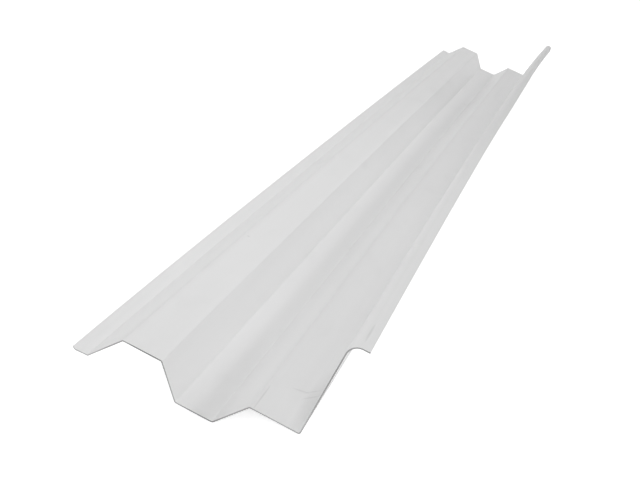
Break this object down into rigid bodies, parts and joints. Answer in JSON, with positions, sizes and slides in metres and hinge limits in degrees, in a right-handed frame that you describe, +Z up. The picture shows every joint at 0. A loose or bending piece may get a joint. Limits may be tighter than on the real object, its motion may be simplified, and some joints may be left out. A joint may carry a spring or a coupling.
{
  "type": "wall flashing",
  "caption": "Thin formed sheet that laps over trapezoid roof sheets beside a wall and turns up against it, with a small lip along its top edge.",
  "frame": {"origin": "middle of the bottom of the sheet's box, as it lies on a level floor on the bend of its last pan and on the foot of the upstand", "axes": "+Z up; +Y along the sheet's length; +X across it, from the roof edge to the wall edge"},
  "size_m": [0.1648, 1.2, 0.052],
  "materials": {
    "flashing_sheet": "satin pale grey, smooth, formed through its thickness in one colour"
  },
  "bodies": {
    "root": {"flashing_sheet": "flashing_sheet"}
  },
  "joints": []
}
